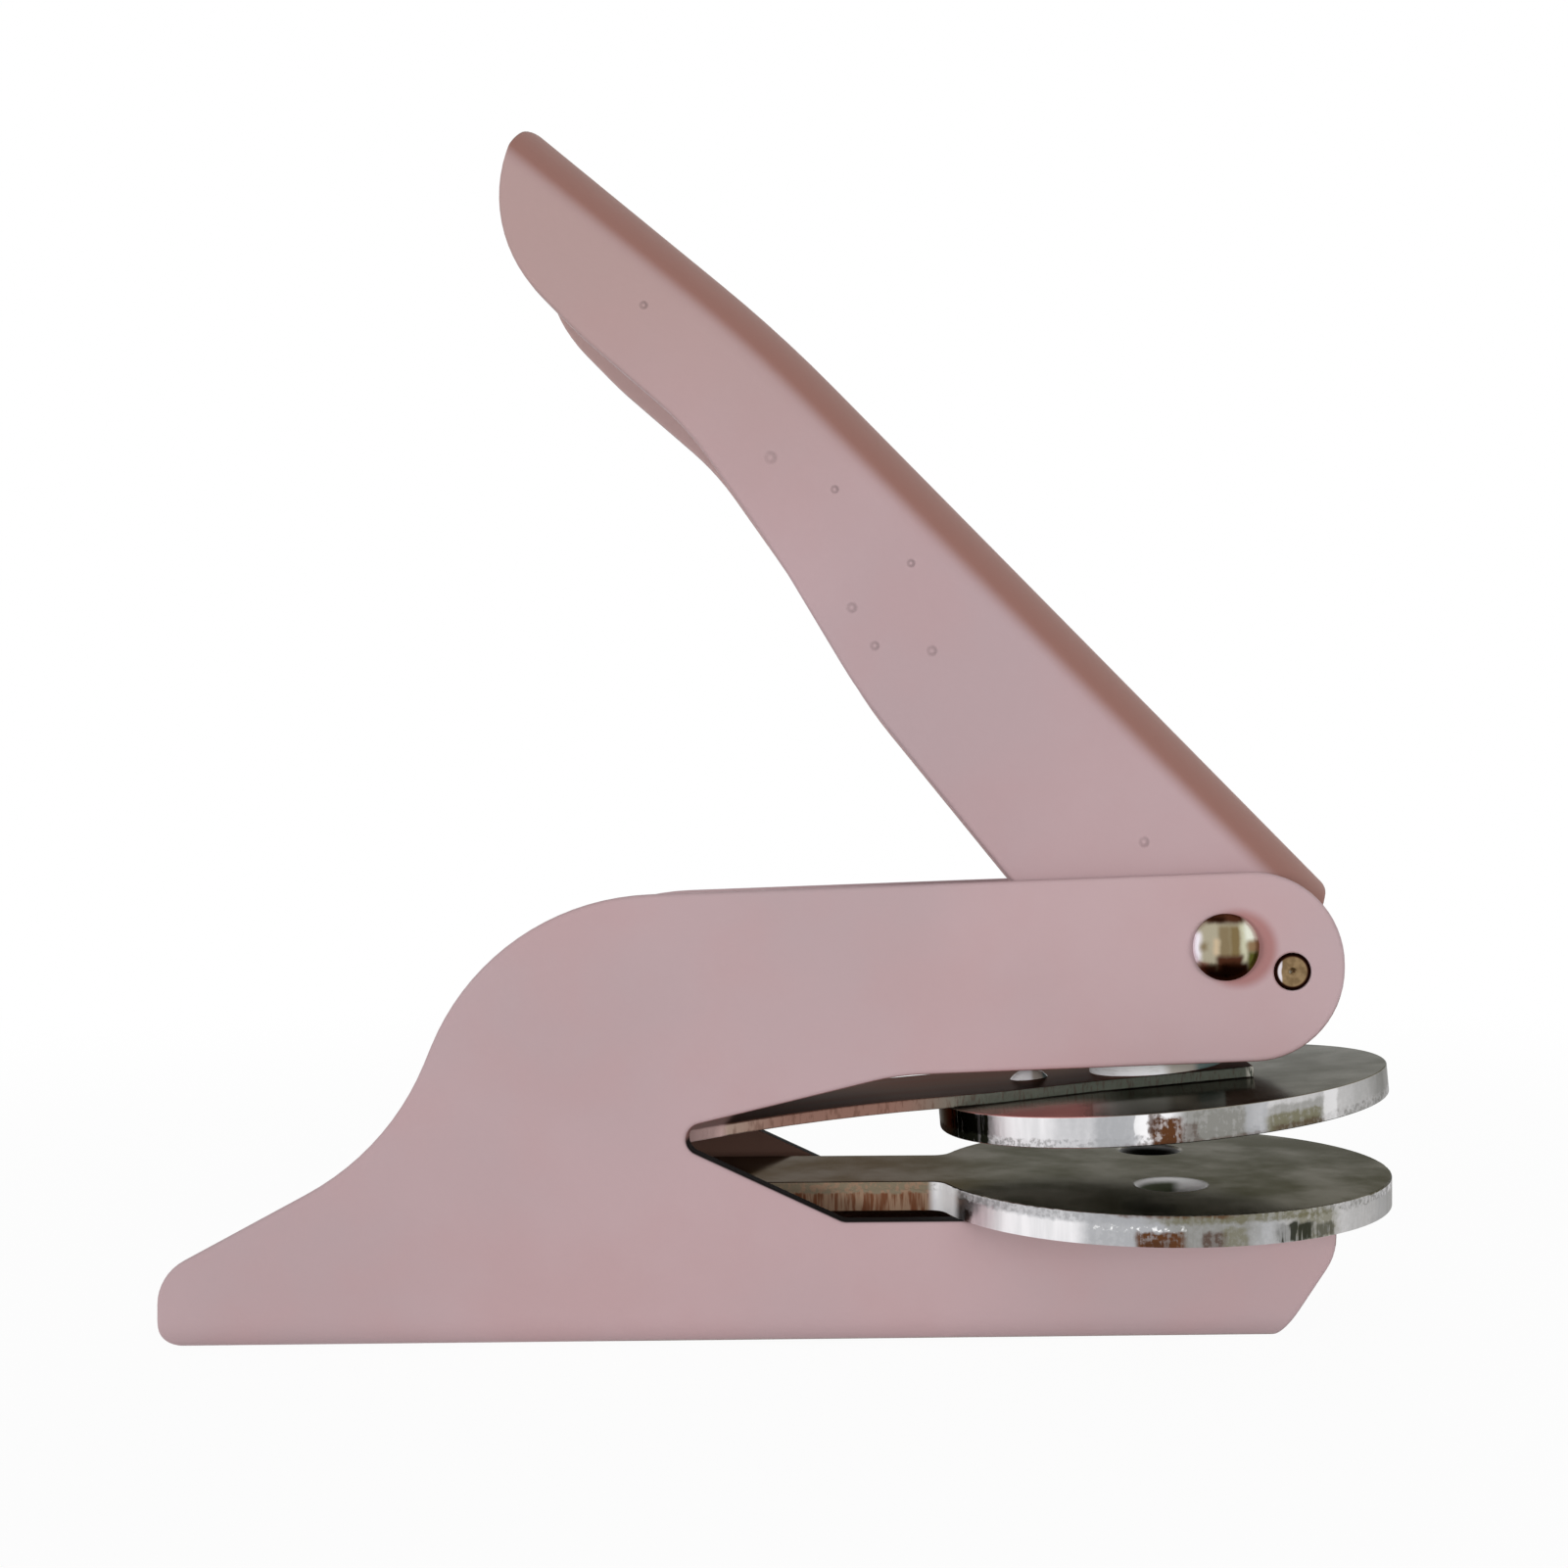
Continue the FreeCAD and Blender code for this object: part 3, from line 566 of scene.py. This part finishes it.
UPPER_MARKS = [
    ("silver", -9.0, 4.2, -0.3, 1.3, 0.6),
    ("silver", -6.9, 2.2, -0.3, 1.3, 0.9),
    ("grey", 2.6, 3.7, -0.3, 1.3, 1.0),
    ("grey", 15.5, 8.0, -0.3, 1.3, 0.6),
    ("grey", 10.8, 3.2, -0.3, 0.80, 0.7),
    ("silver", 6.6, 1.1, -0.3, 1.3, 0.8),
    ("olive", 10.8, 3.0, 0.00, 0.55, 0.8),
    ("brown", 11.5, 2.8, -0.10, 0.20, 0.6),
    ("white", 14.8, 0.9, -0.3, 1.3, 0.5),
    ("white", -4.4, 0.6, 0.30, 1.3, 0.75),
    ("rust", -2.2, 1.2, -0.3, 0.85, 1.0),
    ("brown", -3.2, 0.5, 0.40, 1.3, 0.8),
    ("brown", -0.1, 0.8, 0.10, 0.60, 0.6),
    ("brown", 0.5, 7.0, -0.3, 0.08, 0.6),
    ("umber", -24.2, 1.6, -0.3, 1.3, 1.6),
    ("black", -21.1, 1.6, -0.3, 1.3, 1.6),
]
jaw_up = (-math.sin(JAW_TILT), 0.0, math.cos(JAW_TILT))
lower_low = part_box("lower_die_plate")[0].z / MM
upper_mesh = nodes["upper_die_plate"].data
upper_low = min(vertex.co.dot(Vector(jaw_up)) for vertex in upper_mesh.vertices) / MM
lower_steel = plate_steel("lower_plate_steel", (0.0, 0.0, 1.0), lower_low, LOWER_MARKS, False, 0.0)
upper_steel = plate_steel("upper_plate_steel", jaw_up, upper_low, UPPER_MARKS, True, 1.0)
lower_steel.coat(nodes["lower_die_plate"])
upper_steel.coat(nodes["upper_die_plate"])
print("undersides in mm along each plate's axis: %.2f and %.2f" % (lower_low, upper_low))

# %% [markdown]
# The jaw's spring is a strip of tempered steel. In the CAD it is one rigid solid that the jaw carries,
# but the real one is clamped at its root and bends. A copy of the CAD mesh keeps its path, its holes
# and its thickness exactly, so that is the start. Flat facets are joined first, the sheared edges get a
# fine round, and then the copy is sliced across at short steps, because a mesh can only bend where it
# has vertices.

# %% Spring strip
STRIP_PITCH = 1.5
STRIP_EDGE = 0.14


def spring_strip(cad_mesh):
    shape = bmesh.new()
    shape.from_mesh(cad_mesh)
    bmesh.ops.remove_doubles(shape, verts=shape.verts, dist=0.001 * MM)
    bmesh.ops.dissolve_limit(shape, angle_limit=math.radians(0.3), verts=shape.verts, edges=shape.edges)
    sharp = [edge for edge in shape.edges if edge.calc_face_angle(0.0) > math.radians(50)]
    bmesh.ops.bevel(shape, geom=sharp, offset=STRIP_EDGE * MM, segments=2, profile=0.5, affect="EDGES")
    rear = min(vertex.co.x for vertex in shape.verts)
    front = max(vertex.co.x for vertex in shape.verts)
    for index in range(1, int((front - rear) / (STRIP_PITCH * MM)) + 1):
        place = (rear + index * STRIP_PITCH * MM, 0, 0)
        everything = shape.verts[:] + shape.edges[:] + shape.faces[:]
        bmesh.ops.bisect_plane(shape, geom=everything, plane_co=place, plane_no=(1, 0, 0))
    bmesh.ops.triangulate(shape, faces=[face for face in shape.faces if len(face.verts) > 4])
    for face in shape.faces:
        face.smooth = True
    for edge in shape.edges:
        edge.smooth = edge.calc_face_angle(0.0) < math.radians(20)
    mesh = bpy.data.meshes.new("leaf_strip")
    shape.to_mesh(mesh)
    shape.free()
    return mesh


strip_low, strip_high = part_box("leaf_spring")
leaf_strip = bpy.data.objects.new("leaf_strip", spring_strip(nodes["leaf_spring"].data))
bpy.context.scene.collection.objects.link(leaf_strip)
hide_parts("leaf_spring")
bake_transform(leaf_strip)
print("faces of the strip:", len(leaf_strip.data.polygons))

# %% [markdown]
# Tempering leaves the strip dark, a brown to black oxide that is a little uneven along the rolling
# direction. Its cut edges stay paler and show the shear marks as short upright stripes. Their colour
# goes from beige at the root to green at the front, a painted light and shade, since the root stands in
# more light. The front end and the tip of the sides carry a painted highlight and are the brightest.
# Near the corner of the throat the strip carries a painted reflection of the pink walls, so it is
# painted pale pink there and is hardly metallic. The facing separates edge from face again.

# %% Tempered steel of the strip
OXIDE_DARK = rgb(84, 62, 54)
OXIDE_WARM = rgb(112, 82, 68)
CUT_BEIGE = rgb(176, 156, 142)
CUT_PINK = rgb(142, 108, 96)
CUT_GREEN = rgb(112, 117, 107)
CUT_DARK = rgb(92, 62, 50)
END_HIGHLIGHT = rgb(226, 224, 214)
ROOT_PINK_REFLECTION = rgb(196, 166, 162)
ROOT_REFLECTION_FRONT = (-46.6, -47.6)
ROOT_REFLECTION_REAR = (-58.0, -53.0)

temper = Finish("strip_steel", {"Specular Tint": (0.26, 0.18, 0.15, 1.0)})
rolled = grain(temper, 2.5, 4, (0.08, 1, 1))
oxide = tint(temper, step(temper, rolled, 0.35, 0.68), OXIDE_DARK, OXIDE_WARM)
side = step(temper, abs(axis_of(temper, temper.facing, "Y")), 0.5, 0.8)
end = step(temper, axis_of(temper, temper.facing, "X"), 0.6, 0.9)
along = axis_of(temper, temper.place, "X")
# Painted light and shade: the cut edges are paler at the root and darker towards the front.
cut = tint(temper, step_mm(temper, along, -50, -40), CUT_BEIGE, CUT_PINK)
cut = tint(temper, step_mm(temper, along, -30, -20), cut, CUT_GREEN)
shear = grain(temper, 0.34, 3, (1, 1, 0.25))
cut = tint(temper, 0.45 * step(temper, shear, 0.50, 0.66), cut, CUT_DARK)
metal = tint(temper, side, oxide, cut)
# Painted highlight on the front end and the tip of the sides.
tip = side * step(temper, along, strip_high.x - 1.1 * MM, strip_high.x - 0.5 * MM)
metal = tint(temper, tip * step(temper, shear, 0.40, 0.52), metal, END_HIGHLIGHT)
# Painted reflection of the pink walls near the root.
root_reflection = step_mm(temper, along, *ROOT_REFLECTION_FRONT) * step_mm(temper, along, *ROOT_REFLECTION_REAR)
metal = tint(temper, root_reflection, metal, ROOT_PINK_REFLECTION)
temper.feed("Base Color", tint(temper, end, metal, END_HIGHLIGHT))
temper.feed("Metallic", 1 - 0.9 * root_reflection)
temper.feed("Roughness", 0.24 + 0.14 * rolled + 0.12 * side)
relief(temper, side * shear * 0.6 + 0.05 * rolled, 0.10)
temper.coat(leaf_strip)
print("strip steel nodes:", len(temper.tree.nodes))

# %% [markdown]
# The pivot rivet is nickel plated and domed, and a dome mirrors the whole room: beige walls, the bright
# lamp at its left, and a dark table below. A mirror of an empty studio would show none of that, so the
# dome carries the room as soft patches. Each patch is a tone with its left and right and its low and
# high edge, in shares of the head's radius. Fine scratches break up the shine.

# %% Nickel plated dome
DOME_TONES = {
    "beige": rgb(172, 164, 142),
    "olive": rgb(134, 118, 90),
    "bronze": rgb(126, 108, 74),
    "peach": rgb(206, 184, 152),
    "pale": rgb(196, 194, 168),
    "cream": rgb(228, 230, 214),
    "tan": rgb(140, 114, 84),
    "moss": rgb(84, 84, 36),
    "white": rgb(246, 240, 248),
    "brown": rgb(74, 42, 28),
    "dark": rgb(34, 15, 7),
}
DOME_PATCHES = [
    ("olive", (-0.27, 0.06), (-0.30, 0.64)),
    ("bronze", (0.04, 0.36), (-0.30, 0.64)),
    ("peach", (-0.42, -0.28), (-0.22, 0.26)),
    ("pale", (0.36, 0.55), (-0.42, 0.80)),
    ("cream", (0.50, 1.10), (0.20, 0.80)),
    ("tan", (0.58, 1.10), (-0.14, 0.20)),
    ("moss", (0.58, 1.10), (-0.80, -0.12)),
    ("white", (-1.10, -0.76), (-0.44, 0.46)),
    ("olive", (-0.76, -0.60), (-0.08, 0.14)),
    ("brown", (-0.34, 0.44), (-1.10, -0.22)),
    ("brown", (-0.80, -0.30), (-1.10, -0.50)),
    ("dark", (-0.20, 0.62), (-1.10, -0.42)),
    ("dark", (-0.60, 0.70), (-1.10, -0.66)),
    ("brown", (-0.64, 0.50), (0.70, 1.10)),
    ("dark", (-0.50, -0.05), (0.74, 0.90)),
]
HEAD_RADIUS = 3.6


def nickel_dome():
    """Nickel with the patches laid over each other in turn."""
    nickel = Finish("rivet_nickel", {"Metallic": 1.0, "Specular Tint": (0.6, 0.55, 0.5, 1.0)})
    low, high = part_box("pivot_rivet")
    ruffle = 0.10 * (grain(nickel, 1.1, 2) - 0.5)
    places = []
    for letter in "XZ":
        middle = (getattr(low, letter.lower()) + getattr(high, letter.lower())) / 2
        offset = axis_of(nickel, nickel.place, letter) - middle
        places.append(offset * (1 / (HEAD_RADIUS * MM)) + ruffle)
    colour = DOME_TONES["beige"]
    for tone, *spans in DOME_PATCHES:
        share = 1.0
        for place, (start, end) in zip(places, spans):
            reach = (end - start) / 2
            share = share * step(nickel, abs(place - (start + reach)), reach + 0.10, reach - 0.10)
        colour = tint(nickel, share, colour, DOME_TONES[tone])
    nickel.feed("Base Color", colour)
    scratch = grain(nickel, 0.3, 3, (1, 1, 0.15))
    nickel.feed("Roughness", 0.14 + 0.14 * scratch)
    relief(nickel, scratch, 0.010)
    return nickel


nickel_dome().coat(nodes["pivot_rivet"])
print("patches of mirrored room:", len(DOME_PATCHES))

# %% [markdown]
# The stop pin is cut from brass coloured steel. Its face is turned and cloudy, with the punch's dent in
# the middle, which has a painted highlight on one side and painted shade on the other. A bright crescent
# at its left edge is a painted highlight, and the round of its rim is painted dark as shade.

# %% Punched pin
PIN_GOLD = rgb(148, 124, 92)
PIN_DARK = rgb(122, 100, 72)
PIN_SHADE = rgb(60, 33, 22)
PIN_FACE = 1.46
PUNCH_SPOTS = ((DOME_TONES["cream"], -0.20, 0.22), (PIN_SHADE, 0.18, 0.20))


def punched_pin():
    pin = Finish("pin_steel", {"Metallic": 1.0, "Specular Tint": (0.5, 0.5, 0.5, 1.0)})
    low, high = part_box("stop_pin")
    centre = ((low.x + high.x) / 2, 0.0, (low.z + high.z) / 2)
    away = away_from(pin, centre, (1, 0, 1))
    cloud = grain(pin, 0.8, 3)
    colour = tint(pin, step(pin, cloud, 0.35, 0.65), PIN_GOLD, PIN_DARK)
    # The dent's painted highlight and painted shade.
    for tone, aside, radius in PUNCH_SPOTS:
        spot = away_from(pin, (centre[0] + aside * MM, 0.0, centre[2]), (1, 0, 1))
        colour = tint(pin, 0.8 * step_mm(pin, spot, radius, 0.4 * radius), colour, tone)
    # Painted highlight as a crescent at the left edge.
    beside = axis_of(pin, pin.place, "X") + (1.30 * MM - centre[0])
    crescent = step_mm(pin, beside, 0.30, 0.10) * step_mm(pin, away, 1.10, 1.25)
    colour = tint(pin, 0.75 * crescent, colour, DOME_TONES["white"])
    pin.feed("Base Color", tint(pin, step_mm(pin, away, PIN_FACE, 1.12 * PIN_FACE), colour, PIN_SHADE))
    pin.feed("Roughness", 0.26 + 0.12 * cloud)
    relief(pin, cloud, 0.012)
    return pin


punched_pin().coat(nodes["stop_pin"])
print("radius of the pin's bright face in mm:", PIN_FACE)

# %% [markdown]
# The post and the strip's small rivet are turned and polished, and stand in the narrow gap under the
# arm. A true mirror would show that dark gap there, where the photo has white light in upright bands. So
# their finish is written bright, with a strong sheen, and the bands go by where the surface faces.

# %% Bright post and strip rivet
POST_WHITE = rgb(252, 253, 255)
POST_GREY = rgb(184, 178, 168)
POST_TEAL = rgb(104, 132, 130)


def bright_post():
    post = Finish("post_steel", {"Metallic": 0.0, "Specular IOR Level": 0.9})
    sideways = axis_of(post, post.facing, "X")
    turned = grain(post, 0.5, 3, (0.3, 0.3, 4))
    colour = tint(post, step(post, sideways, -0.05, 0.15), POST_WHITE, POST_GREY)
    colour = tint(post, step(post, sideways, 0.42, 0.56), colour, POST_TEAL)
    colour = tint(post, 0.3 * step(post, turned, 0.52, 0.66), colour, POST_GREY)
    post.feed("Base Color", colour)
    post.feed("Roughness", 0.20 + 0.10 * turned)
    relief(post, turned, 0.006)
    return post


bright_post().coat(nodes["press_post"], nodes["leaf_rivet"])
print("tones of the post:", len((POST_WHITE, POST_GREY, POST_TEAL)))

# %% [markdown]
# What sits inside is plain machined steel: the block sawn and dark with oil, the cam ground, the spacers
# cut from tube, the long rivets pressed. They share one finish with two tones and a grain that runs the
# way the tool went.

# %% Plain cut steel
STEEL_PALE = rgb(214, 216, 218)
STEEL_GREY = rgb(150, 150, 148)
STEEL_DARK = rgb(92, 90, 88)
RIVET_WARM = rgb(196, 182, 168)
BLOCK_BLACK = rgb(52, 46, 42)
BLOCK_GREY = rgb(84, 78, 72)


def cut_steel(name, pale, dark, rough, size_mm, stretch):
    """Plain machined steel: two tones, a grain that runs one way, and fine scratches."""
    steel = Finish(name, {"Metallic": 1.0, "Specular Tint": (0.5, 0.5, 0.5, 1.0)})
    cloud = step(steel, grain(steel, size_mm * 6, 3), 0.35, 0.65)
    line = grain(steel, size_mm, 3, stretch)
    steel.feed("Base Color", tint(steel, 0.6 * cloud + 0.4 * step(steel, line, 0.4, 0.6), pale, dark))
    steel.feed("Roughness", rough + 0.15 * line)
    relief(steel, line, 0.03)
    return steel


rivet_steel = cut_steel("small_rivet_steel", RIVET_WARM, STEEL_GREY, 0.22, 0.3, (1, 1, 0.3))
rivet_steel.coat(nodes["root_rivets"], nodes["cam_rivet"])
cut_steel("block_steel", BLOCK_BLACK, BLOCK_GREY, 0.40, 0.6, (0.2, 1, 1)).coat(nodes["root_block"])
cut_steel("cam_steel", STEEL_GREY, STEEL_DARK, 0.30, 0.4, (0.2, 1, 1)).coat(nodes["press_cam"])
cut_steel("spacer_steel", STEEL_PALE, STEEL_GREY, 0.25, 0.3, (1, 0.1, 1)).coat(nodes["pivot_spacers"])
print("finishes:", sorted(material.name for material in bpy.data.materials if material.users))

# %% [markdown]
# The main lamp stands at the front left, level with the press and at 45 degrees to it. It is fairly
# small, so that the rivet's dome throws a clear shadow. A weaker one fills the right, another the back,
# and an even glow the rest. Their levels add up to about 1 on a face that looks at the camera, so that a
# colour renders about as it is written. Metal doesn't mirror the lamps. Rays from the camera, and those
# that metal mirrors, see plain white instead of the glow.

# %% Lamps and glow
GLOW = 0.38
CENTRE = Vector((-0.04, 0.0, 0.055))
LAMPS = [
    ("key", (-1.05, -1.05, 0.10), 0.36, 10.6),
    ("right_fill", (0.40, -0.58, 0.06), 0.40, 2.8),
    ("back_fill", (0.10, 0.85, 0.15), 0.60, 4.2),
]


def plain_white(tree):
    """A factor that is 1 for rays of the camera, of mirrors and of glass, and 0 for others."""
    path = tree.nodes.new("ShaderNodeLightPath")
    total = path.outputs["Is Camera Ray"]
    for name in ("Is Glossy Ray", "Is Transmission Ray"):
        sum_node = tree.nodes.new("ShaderNodeMath")
        sum_node.operation = "ADD"
        sum_node.use_clamp = True
        tree.links.new(total, sum_node.inputs[0])
        tree.links.new(path.outputs[name], sum_node.inputs[1])
        total = sum_node.outputs[0]
    return total


def lamp(name, place, size, power):
    """A square lamp that looks at the press, sizes in metres and watts."""
    light = bpy.data.lights.new(name, "AREA")
    light.shape = "SQUARE"
    light.size = size
    light.energy = power
    holder = bpy.data.objects.new(name, light)
    holder.location = place
    holder.rotation_euler = (CENTRE - Vector(place)).to_track_quat("-Z", "Y").to_euler()
    holder.visible_glossy = False
    bpy.context.scene.collection.objects.link(holder)


world = bpy.data.worlds.new("studio")
world.use_nodes = True
bpy.context.scene.world = world
background = world.node_tree.nodes["Background"]
strength = world.node_tree.nodes.new("ShaderNodeMix")
strength.data_type = "FLOAT"
world.node_tree.links.new(plain_white(world.node_tree), strength.inputs[0])
strength.inputs[2].default_value = GLOW
strength.inputs[3].default_value = 1.0
background.inputs["Color"].default_value = (1.0, 1.0, 1.0, 1.0)
world.node_tree.links.new(strength.outputs[0], background.inputs["Strength"])

for each in LAMPS:
    lamp(*each)
print("lamps:", [each.name for each in bpy.data.lights])

# %% [markdown]
# The floor is a pale sheet that reads as white paper. Most of its look for the camera is plain white,
# mixed with a matt surface that still takes the object's soft shadow. The white's share rises to the
# whole away from the press, so that the sheet has no horizon.

# %% Floor
FLOOR_HALF = 0.8
FLOOR_DROP = 0.05
WHITE_NEAR = 0.955
NEAR, FAR = 0.10, 0.45
floor_shape = bmesh.new()
bmesh.ops.create_grid(floor_shape, x_segments=1, y_segments=1, size=FLOOR_HALF)
floor_mesh = bpy.data.meshes.new("floor")
floor_shape.to_mesh(floor_mesh)
floor_shape.free()
floor = bpy.data.objects.new("floor", floor_mesh)
floor.location = (0.0, 0.0, -FLOOR_DROP * MM)
bpy.context.scene.collection.objects.link(floor)
paper = Finish("floor_paper", {"Base Color": (0.90, 0.90, 0.90, 1.0), "Roughness": 0.9,
                               "Specular IOR Level": 0.0})
far = step(paper, away_from(paper, CENTRE, (1, 1, 0)), NEAR, FAR)
white_share = Strand(paper, plain_white(paper.tree)) * (WHITE_NEAR + (1 - WHITE_NEAR) * far)
white = paper.node("ShaderNodeEmission", {}, {"Color": (1.0, 1.0, 1.0, 1.0), "Strength": 1.0})
matt = Strand(paper, paper.shader.outputs[0])
joined = paper.node("ShaderNodeMixShader", {}, [white_share, matt, white])
paper.tree.links.new(joined.socket, paper.tree.nodes["Material Output"].inputs["Surface"])
paper.coat(floor)
print("floor, metres square:", 2 * FLOOR_HALF)

# %% [markdown]
# The camera stands close to the press, at the height of its arm and turned a little to the right. Its
# place was found by fitting known points of the press to the picture. The picture's centre lies left
# of and above the point that the camera looks at, which is what the shift says.

# %% Camera
PICTURE = 1601
FOCAL_PX = 1650.0
SENSOR_WIDTH = 36.0
VIEW_CENTRE_PX = (1050.5, 878.0)
CAMERA_PLACE = (-0.02135, -0.181, 0.0505)
CAMERA_TURN = -2.1
camera_data = bpy.data.cameras.new("camera")
camera_data.sensor_width = SENSOR_WIDTH
camera_data.lens = camera_data.sensor_width * FOCAL_PX / PICTURE
camera_data.shift_x = (PICTURE / 2 - VIEW_CENTRE_PX[0]) / PICTURE
camera_data.shift_y = (VIEW_CENTRE_PX[1] - PICTURE / 2) / PICTURE
camera_data.clip_start = 0.01
camera_data.clip_end = 20.0
camera = bpy.data.objects.new("camera", camera_data)
camera.location = CAMERA_PLACE
camera.rotation_euler = (math.radians(90.0), 0.0, math.radians(CAMERA_TURN))
bpy.context.scene.collection.objects.link(camera)
bpy.context.scene.camera = camera
bpy.context.scene.view_settings.view_transform = "Standard"
print("lens %.2f mm, shift %.4f, %.4f" % (camera_data.lens, camera_data.shift_x, camera_data.shift_y))

# %% [markdown]
# The dressed part must stay as large as the CAD model. At the end the scene is brought up to date.

# %% Bring the scene up to date
bpy.context.view_layer.update()
